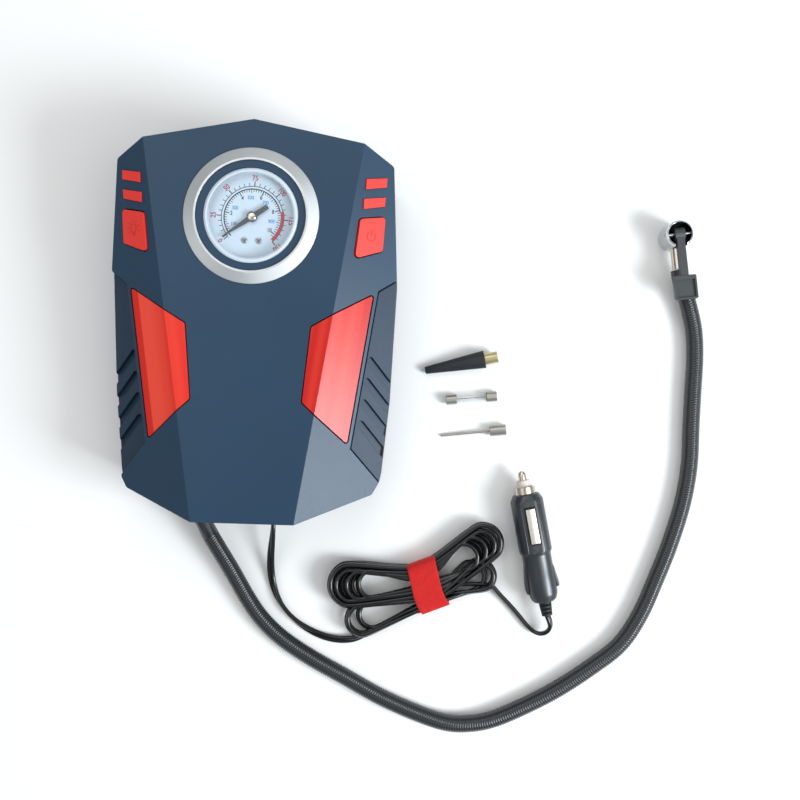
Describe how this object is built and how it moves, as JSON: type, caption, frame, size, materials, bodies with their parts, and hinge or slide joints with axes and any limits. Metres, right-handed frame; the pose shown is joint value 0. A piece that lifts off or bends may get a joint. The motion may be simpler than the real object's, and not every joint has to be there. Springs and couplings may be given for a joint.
{
  "type": "portable tire inflator",
  "caption": "Flat faceted 12 V air pump with a round pressure gauge, two lamps, air hose with lever chuck, and a wound power cord with a plug.",
  "frame": {"origin": "middle of the body's length and width, on the surface that the inflator lies on", "axes": "+X to the right of the front face, +Y towards the gauge end, +Z out of the front face"},
  "size_m": [0.3536, 0.357, 0.0734],
  "materials": {
    "shell_rear": "moulded ABS, fine texture",
    "shell_front": "moulded ABS, satin",
    "rubber": "matte",
    "screw_steel": "zinc plated",
    "lamp_red": "clear red moulding",
    "reflector": "vacuum metallised",
    "board": "lacquered circuit board",
    "trim_red": "satin red",
    "button_red": "satin red",
    "black_plastic": "satin",
    "ring_silver": "satin silver lacquer",
    "gauge_glass": "clear",
    "dial_face": "satin print",
    "needle_dark": "satin",
    "brass": "turned",
    "motor_steel": "drawn, plated",
    "copper": "wound",
    "nylon": "natural nylon",
    "shaft_steel": "ground",
    "frame_steel": "pressed, plated",
    "alloy": "cast and turned",
    "clear_tube": "silicone",
    "wire_black": "PVC",
    "hose_black": "ribbed",
    "nickel": "nickel plated",
    "chuck_chrome": "nickel-chrome plated",
    "lever_grey": "satin",
    "strap_red": "hook and loop tape",
    "plug_black": "satin",
    "insulator_cream": "moulded",
    "fuse_glass": "clear"
  },
  "bodies": {
    "inflator": {"rear_case": "shell_rear", "front_cover": "shell_front", "rubber_feet": "rubber", "case_screws": "screw_steel", "left_lamp_lens": "lamp_red", "right_lamp_lens": "lamp_red", "lamp_reflectors": "reflector", "lamp_boards": "board", "trim_bars": "trim_red", "push_switches": "black_plastic", "switch_boards": "board", "gauge_ring": "ring_silver", "gauge_lens": "gauge_glass", "gauge_case": "black_plastic", "gauge_dial": "dial_face", "dial_screws": "screw_steel", "gauge_movement": "brass", "bourdon_tube": "brass", "gauge_stem": "brass", "motor_can": "motor_steel", "motor_end_cap": "black_plastic", "crank_bush": "brass", "pump_frame": "frame_steel", "pump_cylinder": "alloy", "cylinder_head": "alloy", "pump_tube": "clear_tube", "outlet_tube": "clear_tube", "supply_wires": "wire_black", "hose_gland": "rubber", "cord_grommet": "rubber", "air_hose": "hose_black", "hose_ferrule": "nickel", "chuck_body": "chuck_chrome", "lever_pin": "shaft_steel", "chuck_seal": "rubber", "cord_lead": "wire_black", "cord_hank": "wire_black", "plug_lead": "wire_black", "cord_strap": "strap_red", "plug_body": "plug_black", "plug_ring": "nickel", "plug_insulator": "insulator_cream", "plug_contacts": "nickel", "plug_strain_relief": "rubber"},
    "light_button": {"light_button": "button_red"},
    "power_button": {"power_button": "button_red"},
    "needle": {"gauge_needle": "needle_dark"},
    "rotor": {"motor_rotor": "copper", "drive_pinion": "brass"},
    "crank": {"crank_gear": "nylon", "crank_shaft": "shaft_steel"},
    "piston": {"piston": "alloy", "piston_seal": "rubber"},
    "chuck_lever": {"chuck_lever": "lever_grey"},
    "plug_tip": {"plug_tip": "nickel"},
    "nozzle": {"nozzle_adapter": "black_plastic", "nozzle_stub": "brass"},
    "spare_fuse": {"fuse_glass": "fuse_glass", "fuse_caps": "nickel"},
    "ball_needle": {"ball_needle": "nickel"}
  },
  "joints": [
    {"name": "light_button_press", "type": "slide", "parent": "inflator", "child": "light_button", "axis": [0.4941, 0.0764, -0.866], "range_m": [0, 0.002], "stiffness_N_per_m": 400, "springref_m": -0.001},
    {"name": "power_button_press", "type": "slide", "parent": "inflator", "child": "power_button", "axis": [-0.4941, 0.0764, -0.866], "range_m": [0, 0.002], "stiffness_N_per_m": 400, "springref_m": -0.001},
    {"name": "gauge_needle_turn", "type": "hinge", "parent": "inflator", "child": "needle", "pos_m": [0, 0.058, 0.066], "axis": [0, 0, -1], "range_deg": [0, 262]},
    {"name": "crank_spin", "type": "hinge", "parent": "inflator", "child": "crank", "pos_m": [0.011, -0.035, 0.0286], "axis": [0, 1, 0], "continuous": true},
    {"name": "motor_spin", "type": "hinge", "parent": "inflator", "child": "rotor", "pos_m": [-0.016, -0.035, 0.0286], "axis": [0, 1, 0], "continuous": true},
    {"name": "piston_stroke", "type": "slide", "parent": "inflator", "child": "piston", "axis": [-1, 0, 0], "range_m": [0, 0.011]},
    {"name": "chuck_lever_swing", "type": "hinge", "parent": "inflator", "child": "chuck_lever", "pos_m": [0.2515, 0.065, 0.0165], "axis": [-0.9903, -0.1392, 0], "range_deg": [0, 85]},
    {"name": "plug_tip_press", "type": "slide", "parent": "inflator", "child": "plug_tip", "axis": [0.2079, -0.9781, 0], "range_m": [0, 0.003], "stiffness_N_per_m": 600, "springref_m": -0.002},
    {"name": "nozzle_lift", "type": "slide", "parent": "inflator", "child": "nozzle", "axis": [0, 0, 1], "range_m": [0, 0.05]},
    {"name": "fuse_lift", "type": "slide", "parent": "inflator", "child": "spare_fuse", "axis": [0, 0, 1], "range_m": [0, 0.05]},
    {"name": "ball_needle_lift", "type": "slide", "parent": "inflator", "child": "ball_needle", "axis": [0, 0, 1], "range_m": [0, 0.05]}
  ],
  "couplings": [
    {"joint": "motor_spin", "follows": "crank_spin", "ratio": -4}
  ]
}
